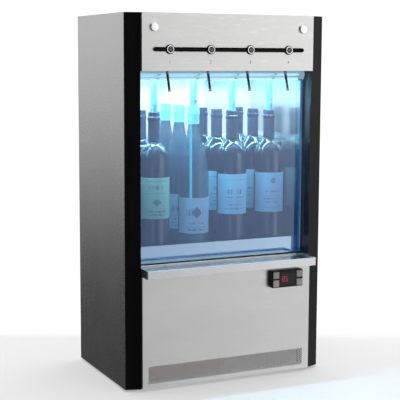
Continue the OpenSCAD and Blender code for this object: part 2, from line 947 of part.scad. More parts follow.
placed() controller_display();
placed() key(0);  // key_1
placed() key(1);  // key_2
placed() key(2);  // key_3
placed() key(3);  // key_4
placed() power_supply();
placed() power_inlet();
placed() compressor();
placed() condenser();
placed() condenser_fan_frame();
placed() condenser_fan_rotor();
placed() refrigerant_pipes();
placed() evaporator();
placed() tall_bottles();
placed() flute_bottles();
placed() bottle_capsules();
placed() bottle_labels();
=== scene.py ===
import json
import math
import bpy
from mathutils import Matrix, Vector

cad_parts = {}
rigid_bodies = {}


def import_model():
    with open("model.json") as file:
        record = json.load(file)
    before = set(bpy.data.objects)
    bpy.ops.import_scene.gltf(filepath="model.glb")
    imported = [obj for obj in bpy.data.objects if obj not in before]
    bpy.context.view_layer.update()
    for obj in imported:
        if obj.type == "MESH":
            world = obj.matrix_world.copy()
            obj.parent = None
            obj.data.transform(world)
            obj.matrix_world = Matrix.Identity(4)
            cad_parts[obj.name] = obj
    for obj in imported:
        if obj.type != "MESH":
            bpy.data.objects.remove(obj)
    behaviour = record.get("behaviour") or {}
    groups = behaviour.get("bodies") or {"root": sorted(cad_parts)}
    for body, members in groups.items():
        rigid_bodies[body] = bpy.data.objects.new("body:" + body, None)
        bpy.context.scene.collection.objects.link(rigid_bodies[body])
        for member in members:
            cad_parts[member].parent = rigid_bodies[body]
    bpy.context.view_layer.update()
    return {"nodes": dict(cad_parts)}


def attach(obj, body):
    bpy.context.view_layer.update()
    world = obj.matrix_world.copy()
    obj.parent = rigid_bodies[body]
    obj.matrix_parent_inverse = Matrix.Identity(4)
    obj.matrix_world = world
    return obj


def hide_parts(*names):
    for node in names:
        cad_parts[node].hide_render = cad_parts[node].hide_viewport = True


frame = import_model()
bpy.ops.object.select_all(action="DESELECT")


# ---- camera ----
# It stands to the left of the cabinet at the height of the header and looks slightly down.
# Its lens keeps all of the cabinet in a square picture.
yaw, pitch, roll = math.radians(25.458), math.radians(7.379), math.radians(0.242)
stand = (-1.18933, -2.48618, 0.78953)
focal_length, film_width = 98.145, 36
ahead = Vector((math.sin(yaw) * math.cos(pitch), math.cos(yaw) * math.cos(pitch), -math.sin(pitch)))
level = Vector((math.cos(yaw), -math.sin(yaw), 0))
upright = level.cross(ahead)
across = level * math.cos(roll) + upright * math.sin(roll)
upwards = upright * math.cos(roll) - level * math.sin(roll)
bpy.ops.object.camera_add()
camera = bpy.context.object
camera.data.lens = focal_length
camera.data.sensor_width = film_width
facing = Matrix((across, upwards, -ahead)).transposed().to_4x4()
camera.matrix_world = Matrix.Translation(stand) @ facing
bpy.context.scene.camera = camera


# ---- studio ----
# A pale floor in a plain room whose bright fields are what the steel mirrors: one to the right of the
# front, one at the far right, a dim one behind the camera, one behind the cabinet and one overhead.
# A wide soft light hangs above.
class Wire:
    """One output of a shader node, which sums take as they take a number."""

    def __init__(self, tree, out):
        self.tree, self.out = tree, out

    def node(self, kind, settings=None, sockets=None, take=0):
        made = self.tree.nodes.new("ShaderNode" + kind)
        for name, value in (settings or {}).items():
            setattr(made, name, value)
        for name, value in (sockets or {}).items():
            if isinstance(value, Wire):
                self.tree.links.new(value.out, made.inputs[name])
            else:
                made.inputs[name].default_value = value
        return Wire(self.tree, made.outputs[take])

    def feed(self, shader, name):
        self.tree.links.new(self.out, shader.inputs[name])

    def sum(self, operation, other, turned=False):
        pair = (other, self) if turned else (self, other)
        return self.node("Math", {"operation": operation}, {0: pair[0], 1: pair[1]})

    def __add__(self, other):
        return self.sum("ADD", other)

    def __radd__(self, other):
        return self.sum("ADD", other)

    def __sub__(self, other):
        return self.sum("SUBTRACT", other)

    def __rsub__(self, other):
        return self.sum("SUBTRACT", other, True)

    def __mul__(self, other):
        return self.sum("MULTIPLY", other)

    def __rmul__(self, other):
        return self.sum("MULTIPLY", other)

    def __lt__(self, other):
        return self.sum("LESS_THAN", other)

    def __abs__(self):
        return self.sum("ABSOLUTE", 0.0)

    def part(self, index):
        return self.node("SeparateXYZ", None, {0: self}, index)

    def ease(self, low, high, start=0.0, end=1.0):
        return self.node("MapRange", {"interpolation_type": "SMOOTHSTEP"},
                         {"Value": self, "From Min": low, "From Max": high, "To Min": start, "To Max": end})

    def tint(self, first, second):
        return self.node("Mix", {"data_type": "RGBA"},
                         {0: self, 6: first if isinstance(first, Wire) else (*first, 1),
                          7: second if isinstance(second, Wire) else (*second, 1)}, 2)


def surface(name, colour, roughness, metallic=0.0, **fixed):
    """A material, its shader and the place on the piece that its pattern is worked out from."""
    look = bpy.data.materials.new(name)
    look.use_nodes = True
    shader = look.node_tree.nodes["Principled BSDF"]
    shader.inputs["Base Color"].default_value = (*colour, 1)
    shader.inputs["Roughness"].default_value = roughness
    shader.inputs["Metallic"].default_value = metallic
    for socket, value in fixed.items():
        shader.inputs[socket.replace("_", " ")].default_value = value
    place = Wire(look.node_tree, look.node_tree.nodes.new("ShaderNodeTexCoord").outputs["Object"])
    return look, shader, place


def stretched(place, x, y, z, detail=3.0, rough=0.6):
    """Noise with so many grains to the metre along each axis."""
    moved = place.node("Mapping", None, {"Vector": place, "Scale": (x, y, z)})
    return moved.node("TexNoise", None,
                      {"Vector": moved, "Scale": 1.0, "Detail": detail, "Roughness": rough})


def softbox(name, place, target, width, height, power, colour=(1, 1, 1)):
    bpy.ops.object.light_add(type="AREA", location=place)
    lamp = bpy.context.object
    lamp.name = name
    lamp.data.shape = "RECTANGLE"
    lamp.data.size, lamp.data.size_y = width, height
    lamp.data.energy, lamp.data.color = power, colour
    lamp.rotation_euler = (Vector(target) - Vector(place)).to_track_quat("-Z", "Y").to_euler()
    lamp.visible_camera = False


bpy.context.scene.view_settings.view_transform = "Standard"
world = bpy.data.worlds.new("room")
bpy.context.scene.world = world
world.use_nodes = True
room = world.node_tree
toward = Wire(room, room.nodes.new("ShaderNodeTexCoord").outputs["Generated"])
height = toward.part(2)
turn = toward.part(0).sum("ARCTAN2", toward.part(1) * -1.0)
front_wall = (turn.ease(0.05, 0.62) * turn.ease(0.75, 1.05, 1.0, 0.3)
              * height.ease(-0.16, 0.02, 0.72, 1.0) * height.ease(0.25, 0.45, 1.0, 0.12) * 1.6)
right_wall = turn.ease(1.35, 1.6) * turn.ease(2.0, 2.4, 1.0, 0.0)
behind_camera = (turn.ease(-0.42, -0.34, 1.0, 0.0) * turn.ease(-1.0, -0.7)
                 * height.ease(0.05, 0.2, 1.0, 0.0) * 0.5)
back_wall = toward.part(1).ease(0.25, 0.6) * (height.ease(-0.22, 0.04) * 0.9 + 0.03)
roof = height.ease(0.5, 0.95) * 0.9
everywhere = 0.015
walls = room.nodes["Background"]
walls.inputs["Color"].default_value = (1, 1, 1, 1)
(front_wall + right_wall + behind_camera + back_wall + roof + everywhere).feed(walls, "Strength")
backdrop = room.nodes.new("ShaderNodeBackground")
backdrop.inputs["Color"].default_value = (1, 1, 1, 1)
backdrop.inputs["Strength"].default_value = 1.05
either = room.nodes.new("ShaderNodeMixShader")
room.links.new(room.nodes.new("ShaderNodeLightPath").outputs["Is Camera Ray"], either.inputs[0])
room.links.new(walls.outputs[0], either.inputs[1])
room.links.new(backdrop.outputs[0], either.inputs[2])
room.links.new(either.outputs[0], room.nodes["World Output"].inputs["Surface"])
softbox("overhead light", (0.0, 0.0, 3.2), (0.0, 0.0, 0), 4.0, 4.0, 75)
floor_size = 9
bpy.ops.mesh.primitive_grid_add(x_subdivisions=8, y_subdivisions=8, size=floor_size, location=(0, 0, 0))
floor = bpy.context.object
floor.name = "studio_floor"
floor.visible_glossy = floor.visible_diffuse = floor.visible_shadow = floor.visible_transmission = False
pale, shader, place = surface("pale floor", (0.42, 0.42, 0.42), 0.9,
                              Specular_IOR_Level=0.0, Emission_Strength=0.37)
shader.inputs["Emission Color"].default_value = (1, 1, 1, 1)
stretched(place, 3, 3, 3).ease(0.3, 0.7, 0.86, 0.94).feed(shader, "Roughness")
depth = place.part(0) * math.sin(yaw) + place.part(1) * math.cos(yaw)
fade_from, fade_to = 0.25, 0.38
depth.ease(fade_from, fade_to, 1.0, 0.0).feed(shader, "Alpha")
floor.data.materials.append(pale)


# ---- base pan and feet ----
# A folded galvanised tray closes the cabinet from below and carries the cooling machinery. Four low moulded
# rubber feet are screwed under it, and a galvanised sheet divides the machinery from the cold space.
def dress(look, *nodes):
    for name in nodes:
        for holder in frame["nodes"][name].material_slots:
            holder.material = look


zinc, shader, place = surface("galvanised sheet", (0.5, 0.51, 0.52), 0.42, 0.85)
cells = place.node("TexVoronoi", None, {"Vector": place, "Scale": 90.0}, 1)
spangle = cells.node("SeparateColor", None, {0: cells})
spangle.tint((0.40, 0.41, 0.42), (0.60, 0.61, 0.62)).feed(shader, "Base Color")
(spangle * 0.2 + 0.32).feed(shader, "Roughness")
dress(zinc, "base_pan", "compartment_floor")
rubber, shader, place = surface("black rubber", (0.018, 0.018, 0.019), 0.75)
grain = stretched(place, 900, 900, 900)
grain.tint((0.014, 0.014, 0.015), (0.03, 0.03, 0.032)).feed(shader, "Base Color")
grain.node("Bump", None, {"Strength": 0.25, "Distance": 0.0004, "Height": grain}).feed(shader, "Normal")
dress(rubber, "feet", "spout_glands")


# ---- side, top and rear sheets ----
# Satin coated steel sheets folded at their edges: two sides, a top and a rear panel with slots for air.
# The rear panel is held by plated screws.
coated, shader, place = surface("satin coated steel", (0.5, 0.5, 0.5), 0.28, 0.9)
mottle = stretched(place, 5, 5, 5, 2.0)
fine = stretched(place, 700, 700, 700, 2.0)
mottle.tint((0.47, 0.47, 0.475), (0.53, 0.53, 0.53)).feed(shader, "Base Color")
(fine * 0.08 + mottle * 0.06 + 0.20).feed(shader, "Roughness")
fine.node("Bump", None, {"Strength": 0.08, "Distance": 0.0003, "Height": fine}).feed(shader, "Normal")
dress(coated, "left_side_panel", "right_side_panel", "top_panel", "rear_panel")
plated, shader, place = surface("plated screw", (0.6, 0.6, 0.6), 0.3, 1.0)
(stretched(place, 400, 400, 400) * 0.3 + 0.2).feed(shader, "Roughness")
dress(plated, "rear_screws")


# ---- corner posts ----
# Two gloss black extrusions as tall as the cabinet. The front face slants back to the side panel,
# which overlaps the post's outer wall. The wall towards the window holds the bush of the glass flap.
front_to_middle, foot_height = 154.5, 5
cabinet_half, cabinet_top = 265, 890
post_inner, post_front, post_back = 228.6, 7.7, 62
slant_depth, lap_start, lap_depth = 12, 20.1, 1.4


def at(x, y, z):
    """Where a place is that is given in mm from the middle, the front panels and the cabinet's foot."""
    return (x / 1000, (y - front_to_middle) / 1000, (z + foot_height) / 1000)


def take(piece):
    bpy.ops.object.select_all(action="DESELECT")
    piece.select_set(True)
    bpy.context.view_layer.objects.active = piece


def modify(piece, name, kind, **settings):
    take(piece)
    added = piece.modifiers.new(name, kind)
    for setting, value in settings.items():
        setattr(added, setting, value)
    bpy.ops.object.modifier_apply(modifier=name)


def slab(name, low, high):
    bpy.ops.object.select_all(action="DESELECT")
    a, b = Vector(at(*low)), Vector(at(*high))
    bpy.ops.mesh.primitive_cube_add(size=1, location=(a + b) / 2)
    piece = bpy.context.object
    piece.name = name
    piece.scale = b - a
    bpy.ops.object.transform_apply(location=True, rotation=True, scale=True)
    return piece


def mark(piece, chosen):
    """Goes into edit mode with the faces selected whose centre, in mm, and normal are chosen."""
    bpy.context.view_layer.objects.active = piece
    bpy.ops.object.mode_set(mode="EDIT")
    bpy.ops.mesh.select_mode(type="FACE")
    bpy.ops.mesh.select_all(action="DESELECT")
    bpy.ops.object.mode_set(mode="OBJECT")
    for face in piece.data.polygons:
        face.select = chosen(face.center * 1000 + Vector((0, front_to_middle, -foot_height)), face.normal)
    bpy.ops.object.mode_set(mode="EDIT")


def cut(piece, point, normal, drop=False):
    bpy.context.view_layer.objects.active = piece
    bpy.ops.object.mode_set(mode="EDIT")
    bpy.ops.mesh.select_all(action="SELECT")
    bpy.ops.mesh.bisect(plane_co=at(*point), plane_no=normal, use_fill=drop, clear_outer=drop)
    bpy.ops.object.mode_set(mode="OBJECT")


def soften(piece, width, segments=2):
    """Rounds the sharp edges to a width in mm and keeps the flat faces flat."""
    modify(piece, "edge", "BEVEL", width=width / 1000, segments=segments, limit_method="ANGLE",
           angle_limit=math.radians(30))
    bpy.ops.object.shade_smooth_by_angle(angle=math.radians(60))
    modify(piece, "flat", "WEIGHTED_NORMAL", keep_sharp=True)


def fit(piece, look, slot, body, *nodes):
    take(piece)
    bpy.ops.object.transform_apply(location=True, rotation=True, scale=True)
    piece.data.materials.clear()
    piece.data.materials.append(look)
    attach(piece, body)
    if nodes:
        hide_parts(*nodes)


gloss, shader, place = surface("gloss black extrusion", (0.006, 0.006, 0.007), 0.12, 0.0, IOR=1.5)
haze = stretched(place, 60, 60, 2.5)
haze.ease(0.3, 0.8, 0.05, 0.10).feed(shader, "Roughness")
haze.tint((0.005, 0.005, 0.006), (0.010, 0.010, 0.011)).feed(shader, "Base Color")
for side, name in ((-1, "left"), (1, "right")):
    low_x, high_x = sorted((side * post_inner, side * cabinet_half))
    post = slab(name + "_post", (low_x, post_front, 0), (high_x, post_back, cabinet_top))
    slant = Vector((side * slant_depth, post_inner - cabinet_half, 0)).normalized()
    cut(post, (side * post_inner, post_front, 0), slant, drop=True)
    cut(post, (0, lap_start, 0), (0, 1, 0))
    mark(post, lambda c, n: n.x * side > 0.9 and abs(c.x) > cabinet_half - 1 and c.y > lap_start)
    bpy.ops.transform.translate(value=(-side * lap_depth / 1000, 0, 0))
    bpy.ops.object.mode_set(mode="OBJECT")
    soften(post, 0.5)
    fit(post, gloss, "post_black", "cabinet", name + "_corner_post")


# ---- cold compartment ----
# Satin stainless sheets line the compartment, with rigid foam behind them. The back one carries a painted
# glow behind the bottles' necks, standing in for the light strip's light on it. The bottles stand on a
# folded platform whose polished front skirt closes it towards the glass.
sheet_thickness = 1.2
platform_half, platform_front, platform_back = 219, 53, 312
platform_low, platform_top = 290.5, 337
painted_glow_rise, painted_glow_fall = (560, 600), (690, 730)


def lining(name, roughness, dark, light):
    look, shader, place = surface(name, light, roughness, 0.95)
    grain = stretched(place, 1500, 1500, 9, 2.0)
    smear = stretched(place, 22, 22, 3, 2.0)
    (grain * 0.05 + smear * 0.06 + (roughness - 0.05)).feed(shader, "Roughness")
    smear.tint(dark, light).feed(shader, "Base Color")
    return look, shader, place


glowing_lining, shader, place = lining("bright stainless lining", 0.10,
                                      (0.72, 0.83, 0.92), (0.79, 0.89, 0.96))
up = place.part(2) * 1000
# Painted glow: the back sheet emits light between these heights, standing in for the light strip's light on
# it.
painted_glow = up.ease(*painted_glow_rise) * up.ease(*painted_glow_fall, 1.0, 0.0)
painted_glow.tint((0, 0, 0), (0.68, 0.76, 0.78)).feed(shader, "Emission Color")
shader.inputs["Emission Strength"].default_value = 1.0
dress(glowing_lining, "liner_back")
satin_lining = lining("satin stainless lining", 0.17, (0.60, 0.57, 0.55), (0.66, 0.62, 0.59))[0]
dress(satin_lining, "liner_left", "liner_right", "liner_floor")
foam, shader, place = surface("rigid foam", (0.75, 0.68, 0.42), 0.9)
pores = place.node("TexVoronoi", None, {"Vector": place, "Scale": 500.0})
pores.tint((0.62, 0.55, 0.32), (0.80, 0.74, 0.5)).feed(shader, "Base Color")
pores.node("Bump", None, {"Strength": 0.4, "Distance": 0.0006, "Height": pores}).feed(shader, "Normal")
dress(foam, "foam_panels")
skirt, shader, place = surface("polished platform steel", (0.46, 0.50, 0.54), 0.08, 1.0)
grain = stretched(place, 12, 1500, 1500, 2.0)
(grain * 0.06 + 0.04).feed(shader, "Roughness")
platform = slab("platform_sheet", (-platform_half, platform_front, platform_low),
                (platform_half, platform_back, platform_top))
mark(platform, lambda c, n: n.z < -0.9 or n.y > 0.9)
bpy.ops.mesh.delete(type="FACE")
bpy.ops.object.mode_set(mode="OBJECT")
modify(platform, "sheet", "SOLIDIFY", thickness=sheet_thickness / 1000, offset=-1)
soften(platform, 0.5)
fit(platform, skirt, "liner_steel", "cabinet", "bottle_platform")


# ---- cooling machinery ----
# A hermetic compressor in black enamel, a copper tube and fin condenser with its axial fan,
# copper pipes to the aluminium evaporator behind the lining, and a perforated power supply.
enamel, shader, place = surface("black enamel", (0.012, 0.012, 0.013), 0.22)
(stretched(place, 120, 120, 120) * 0.2 + 0.14).feed(shader, "Roughness")
dress(enamel, "compressor")
copper, shader, place = surface("drawn copper", (0.66, 0.34, 0.22), 0.3, 1.0)
tarnish = stretched(place, 60, 60, 60)
tarnish.tint((0.70, 0.38, 0.25), (0.45, 0.22, 0.14)).feed(shader, "Base Color")
(tarnish * 0.3 + 0.15).feed(shader, "Roughness")
dress(copper, "condenser", "refrigerant_pipes")
moulded, shader, place = surface("moulded black plastic", (0.02, 0.02, 0.021), 0.5)
grain = stretched(place, 1200, 1200, 1200, 1.0)
grain.tint((0.016, 0.016, 0.017), (0.03, 0.03, 0.031)).feed(shader, "Base Color")
grain.node("Bump", None, {"Strength": 0.2, "Distance": 0.0003, "Height": grain}).feed(shader, "Normal")
dress(moulded, "condenser_fan_frame", "condenser_fan_rotor", "power_inlet", "wine_valves", "hinge_bushes")
plain_metal, shader, place = surface("plain aluminium", (0.75, 0.76, 0.78), 0.38, 0.95)
rolled = stretched(place, 8, 900, 900, 2.0)
rolled.tint((0.68, 0.69, 0.71), (0.82, 0.83, 0.85)).feed(shader, "Base Color")
(rolled * 0.2 + 0.28).feed(shader, "Roughness")
dress(plain_metal, "evaporator", "power_supply")


# ---- gas fittings, valves and wine lines ----
# A push-in gas fitting and a regulator at the back feed a machined brass manifold behind the header.
# Four solenoid valves pass the wine from clear hoses to the spouts, and a green circuit board
# behind the button strip carries the switches.
brass, shader, place = surface("machined brass", (0.72, 0.55, 0.28), 0.25, 1.0)
(stretched(place, 10, 800, 800) * 0.25 + 0.15).feed(shader, "Roughness")
dress(brass, "gas_manifold")
dress(plated, "gas_regulator", "gas_inlet")
hose, shader, place = surface("clear hose", (0.75, 0.88, 0.92), 0.12, 0.0, Alpha=0.45)
stretched(place, 300, 300, 20).ease(0.3, 0.7, 0.06, 0.2).feed(shader, "Roughness")
dress(hose, "wine_lines")
board, shader, place = surface("circuit board", (0.02, 0.16, 0.06), 0.4)
tracks = place.node("TexBrick", None, {"Vector": place, "Scale": 160.0}, 1)
tracks.tint((0.02, 0.15, 0.06), (0.05, 0.28, 0.12)).feed(shader, "Base Color")
dress(board, "button_board")


# ---- header ----
# Horizontally brushed stainless sheet, folded back at its edges, with a polished screw cap
# in each upper corner.
cap_x, cap_z = 198, 857
cap_profile = [(3, -8), (3, 0), (9.7, 0), (10, 0.3), (10, 4.0), (9.75, 4.45), (9.2, 4.75), (8.4, 4.8),
               (2, 4.8)]


def brushed(name, dark, light, roughness):
    look, shader, place = surface(name, light, roughness, 0.95)
    hair = stretched(place, 22, 900, 1700, 2.0, 0.5)
    dash = stretched(place, 36, 36, 420, 1.0, 0.4)
    cloud = stretched(place, 3, 3, 9, 2.0)
    streaks = dash.ease(0.60, 0.72)
    tone = hair * 0.45 + cloud * 0.55
    tone.ease(0.25, 0.75).tint(dark, light).feed(shader, "Base Color")
    (hair * 0.10 + cloud * 0.06 - streaks * 0.07 + (roughness - 0.06)).feed(shader, "Roughness")
    relief = hair + streaks * 0.4
    bump = relief.node("Bump", None, {"Strength": 0.10, "Distance": 0.0002, "Height": relief})
    bump.feed(shader, "Normal")
    return look


def smooth(piece):
    take(piece)
    bpy.ops.object.shade_smooth_by_angle(angle=math.radians(35))


def turned(name, profile, sides, place, forward=False):
    """Turns a profile of (radius, height) about an upright axis, or about one that points forward."""
    closed = profile[0] == profile[-1]
    first_radius, first_height = profile[0]
    bpy.ops.object.select_all(action="DESELECT")
    bpy.ops.mesh.primitive_circle_add(vertices=sides, radius=first_radius / 1000,
                                      location=(0, 0, first_height / 1000),
                                      fill_type="NOTHING" if closed else "NGON")
    piece = bpy.context.object
    piece.name = name
    bpy.ops.object.transform_apply(location=True, rotation=True, scale=True)
    bpy.ops.object.mode_set(mode="EDIT")
    bpy.ops.mesh.select_mode(type="VERT")
    bpy.ops.mesh.select_all(action="SELECT")
    for (r, z), (next_r, next_z) in zip(profile, profile[1:]):
        bpy.ops.mesh.extrude_region_move(TRANSFORM_OT_translate={"value": (0, 0, (next_z - z) / 1000)})
        bpy.ops.transform.resize(value=(next_r / r, next_r / r, 1), center_override=(0, 0, next_z / 1000))
    bpy.ops.mesh.select_all(action="SELECT")
    bpy.ops.mesh.remove_doubles(threshold=0.00001)
    bpy.ops.mesh.normals_make_consistent(inside=False)
    bpy.ops.object.mode_set(mode="OBJECT")
    if forward:
        piece.rotation_euler = (math.radians(90), 0, 0)
    piece.location = at(*place)
    bpy.ops.object.transform_apply(location=True, rotation=True, scale=True)
    return piece


def again(piece, name, move):
    twin = piece.copy()
    twin.data = piece.data.copy()
    twin.name = name
    bpy.context.scene.collection.objects.link(twin)
    take(twin)
    twin.location = [step / 1000 for step in move]
    bpy.ops.object.transform_apply(location=True, rotation=True, scale=True)
    return twin


panel_steel = brushed("brushed front steel", (0.70, 0.70, 0.695), (0.80, 0.80, 0.795), 0.34)
dress(panel_steel, "header_fascia")
polished, shader, place = surface("polished steel", (0.82, 0.83, 0.84), 0.08, 1.0)
(stretched(place, 300, 300, 300) * 0.08 + 0.04).feed(shader, "Roughness")
cap = turned("left_cap", cap_profile, 48, (-cap_x, 0, cap_z), True)
smooth(cap)
twin_cap = again(cap, "right_cap", (2 * cap_x, 0, 0))
fit(cap, polished, "polished_steel", "cabinet", "header_caps")
fit(twin_cap, polished, "polished_steel", "cabinet", "header_caps")


# ---- button strip and push buttons ----
# A satin black strip with a round lobe behind each button. Each button is a grey plunger in a black collar
# and a polished ring, and a printed numeral stands under it.
tap_pitch = 105.5
columns = [tap_pitch * (i - 1.5) for i in range(4)]
strip_half, strip_depth, strip_low, strip_high = 199, 2.2, 801, 811
strip_round = (strip_high - strip_low) / 2 - 0.01
button_z = (strip_low + strip_high) / 2
numeral_z, numeral_size, ink_depth, ink_proud = 776.6, 10.5, 0.08, 0.06
button_parts = {
    "lobe_": [(6.5, 0), (11, 0), (11, 2.4), (10.6, 2.8), (6.5, 2.8), (6.5, 0)],
    "ring_": [(7.0, 2.8), (8.6, 2.8), (8.8, 3.0), (8.8, 4.9), (8.5, 5.2), (7.2, 5.2), (7.0, 5.0),
              (7.0, 2.8)],
    "collar_": [(4.95, 2.8), (7.0, 2.8), (7.0, 4.4), (6.8, 4.7), (6.4, 4.6), (5.3, 3.6), (4.95, 3.4),
                (4.95, 2.8)],
    "plunger_": [(4.7, -8), (4.7, 5.7), (4.4, 6.25), (3.9, 6.4), (2.9, 6.15), (1.0, 5.95)],
}
satin, shader, place = surface("satin black strip", (0.006, 0.006, 0.006), 0.42, Specular_IOR_Level=0.15)
grain = stretched(place, 500, 500, 500)
grain.tint((0.004, 0.004, 0.004), (0.009, 0.009, 0.009)).feed(shader, "Base Color")
(grain * 0.2 + 0.32).feed(shader, "Roughness")
strip = slab("strip_bar", (-strip_half, -strip_depth, strip_low), (strip_half, 0, strip_high))
take(strip)
bpy.ops.object.mode_set(mode="EDIT")
bpy.ops.mesh.select_all(action="DESELECT")
bpy.ops.object.mode_set(mode="OBJECT")
for edge in strip.data.edges:
    a, b = (strip.data.vertices[i].co for i in edge.vertices)
    edge.select = abs(a.y - b.y) > 0.001
bpy.ops.object.mode_set(mode="EDIT")
bpy.ops.mesh.select_mode(type="EDGE")
bpy.ops.mesh.bevel(offset=strip_round / 1000, segments=8)
bpy.ops.object.mode_set(mode="OBJECT")
soften(strip, 0.4)
fit(strip, satin, "strip_black", "cabinet", "button_strip")
first_button = []
for part_name, profile in button_parts.items():
    first = turned(part_name + "1", profile, 40 if part_name == "plunger_" else 48,
                   (columns[0], 0, button_z), True)
    smooth(first)
    first_button.append(first)
for i, x in enumerate(columns[1:], 2):
    for first in first_button:
        again(first, first.name[:-1] + str(i), (x - columns[0], 0, 0))
glossy, shader, place = surface("satin grey button", (0.16, 0.16, 0.165), 0.3)
(stretched(place, 900, 900, 900) * 0.12 + 0.24).feed(shader, "Roughness")
ink, shader, place = surface("grey printing", (0.32, 0.32, 0.32), 0.6)
stretched(place, 900, 900, 900).ease(0.2, 0.8, 0.5, 0.7).feed(shader, "Roughness")
for i, x in enumerate(columns):
    n = str(i + 1)
    fit(bpy.data.objects["lobe_" + n], satin, "strip_black", "cabinet", "button_strip")
    fit(bpy.data.objects["ring_" + n], polished, "polished_steel", "cabinet", "button_bezels")
    fit(bpy.data.objects["collar_" + n], satin, "strip_black", "cabinet")
    fit(bpy.data.objects["plunger_" + n], glossy, "button_black", "button_" + n, "button_" + n)
    bpy.ops.object.text_add(rotation=(math.radians(90), 0, 0))
    numeral = bpy.context.object
    numeral.name = "numeral_" + n
    numeral.data.body = n
    numeral.data.size, numeral.data.extrude = numeral_size / 1000, ink_depth / 1000
    numeral.data.align_x, numeral.data.align_y = "CENTER", "CENTER"
    numeral.location = at(x, -ink_proud, numeral_z)
    bpy.ops.object.convert(target="MESH")
    fit(bpy.context.object, ink, "strip_black", "cabinet")


# ---- spouts ----
# Four polished stainless tubes lean forward under the header. Each ends in a small flared tip,
# and a rubber gland holds it where it passes the header's lower fold.
spout_run, spout_drop = 14.5, 47
spout_y, spout_z = 16, 756
lean = math.atan(spout_run / spout_drop)
reach = math.hypot(spout_run, spout_drop)
spout_profile = [(3.3, 20), (3.3, -reach + 7), (3.5, -reach + 4), (4.1, -reach + 1.2), (4.3, -reach + 0.3),
                 (4.0, -reach), (3.0, -reach), (2.4, -reach + 4), (2.3, -reach + 12), (2.3, 20), (3.3, 20)]
# The spouts' steel is painted darker than the other polished steel: painted shade under the header's fold.
shaded_spout_steel, shader, place = surface("dark polished steel", (0.36, 0.37, 0.39), 0.1, 1.0)
(stretched(place, 300, 300, 300) * 0.08 + 0.05).feed(shader, "Roughness")
spout = turned("spout_1", spout_profile, 32, (0, front_to_middle, -foot_height))
spout.rotation_euler = (-lean, 0, 0)
spout.location = at(columns[0], spout_y, spout_z)
smooth(spout)
bpy.ops.object.transform_apply(location=True, rotation=True, scale=True)
spouts = [again(spout, "spout_%d" % n, (x - columns[0], 0, 0)) for n, x in enumerate(columns[1:], 2)]
for piece in spouts + [spout]:
    fit(piece, shaded_spout_steel, "polished_steel", "cabinet", "spouts")


# ---- light bar ----
# A frosted strip under the roof, just behind the flap, throws a cool light down over the bottles.
# Four thin lamps along the roof's edges stand for its light and make the glints in the bottles' shoulders.
bar_front = 62.5
cold = (0.34, 0.78, 1.0)
frosted, shader, place = surface("lit frosted strip", (0.85, 0.97, 1.0), 0.5, Emission_Strength=2.0)
bright = stretched(place, 60, 20, 20).tint((0.70, 0.93, 1.0), (0.82, 0.96, 1.0))
behind_front = (place.part(1) * 1000 + front_to_middle).ease(bar_front + 0.1, bar_front + 1)
behind_front.tint((0.17, 0.28, 0.40), bright).feed(shader, "Emission Color")
dress(frosted, "light_bar")
softbox("front lamp", at(0, 86, 743), at(0, 130, 400), 0.40, 0.012, 2.9, cold)
softbox("back lamp", at(0, 300, 750), at(0, 285, 300), 0.40, 0.010, 1.7, cold)
softbox("left lamp", at(-200, 190, 750), at(-180, 190, 300), 0.22, 0.009, 0.8, cold)
softbox("right lamp", at(200, 190, 750), at(180, 190, 300), 0.22, 0.009, 0.8, cold)


# ---- bottles ----
# Full glass bottles with satin foil capsules and paper labels: claret shapes in three columns
# and taller flute shapes in the second one.
first_row, row_pitch = 96, 86
bottle_rows = [first_row + row_pitch * j for j in range(3)]
bottle_radius, paper_thickness = 37.5, 0.2
label_turn, label_reach = math.radians(12), math.radians(78)
wine, shader, place = surface("dark bottle glass", (0.012, 0.018, 0.026), 0.05, 0.0, Coat_Weight=0.6)
flow = stretched(place, 30, 30, 8)
flow.ease(0.3, 0.7, 0.01, 0.03).feed(shader, "Roughness")
flow.tint((0.010, 0.015, 0.024), (0.020, 0.026, 0.036)).feed(shader, "Base Color")
thin_wine, shader, place = surface("green bottle glass", (0.03, 0.07, 0.10), 0.05, 0.0,
                                   Coat_Weight=0.6, Alpha=0.72)
flow = stretched(place, 30, 30, 8)
flow.ease(0.3, 0.7, 0.01, 0.03).feed(shader, "Roughness")
flow.tint((0.03, 0.06, 0.09), (0.05, 0.10, 0.13)).feed(shader, "Base Color")
foil, shader, place = surface("dark foil", (0.06, 0.055, 0.085), 0.4, 0.3)
creases = stretched(place, 900, 900, 60)
creases.tint((0.035, 0.03, 0.05), (0.06, 0.055, 0.08)).feed(shader, "Base Color")
creases.node("Bump", None, {"Strength": 0.3, "Distance": 0.0004, "Height": creases}).feed(shader, "Normal")
# The pale blue foil carries a painted glow, standing in for the lamps' cold light on it.
pale_foil, shader, place = surface("pale blue foil", (0.28, 0.62, 0.74), 0.35, 0.1, Emission_Strength=0.12)
shader.inputs["Emission Color"].default_value = (0.20, 0.75, 1.0, 1)
creases = stretched(place, 900, 900, 60)
creases.tint((0.24, 0.58, 0.70), (0.32, 0.66, 0.78)).feed(shader, "Base Color")
claret = {
    "look": wine, "foil": foil, "slot": "bottle_dark", "node": "tall_bottles",
    "label": (64, 164), "label_radius": 37.65,
    "glass": [(20, 3), (30, 0.4), (34, 0.2), (36.4, 1.4), (37.4, 5), (37.5, 60), (37.5, 203), (36.9, 211),
              (35.1, 219), (32.2, 226.5), (28.4, 233), (24, 238.3), (20.4, 241.2), (17.6, 243.8),
              (15.4, 247), (14.1, 250), (13.7, 254), (13.6, 298), (15, 300.5), (15, 306.5), (13.8, 308),
              (13.6, 318.6), (12.8, 320)],
    "capsule": [(14.2, 251), (14.7, 251.6), (14.4, 254), (14.3, 299), (15.7, 301), (15.7, 307),
                (14.3, 308.6), (14.3, 319.4), (13.4, 320.3), (12.2, 320.3), (12.2, 312), (14.2, 251)],
}
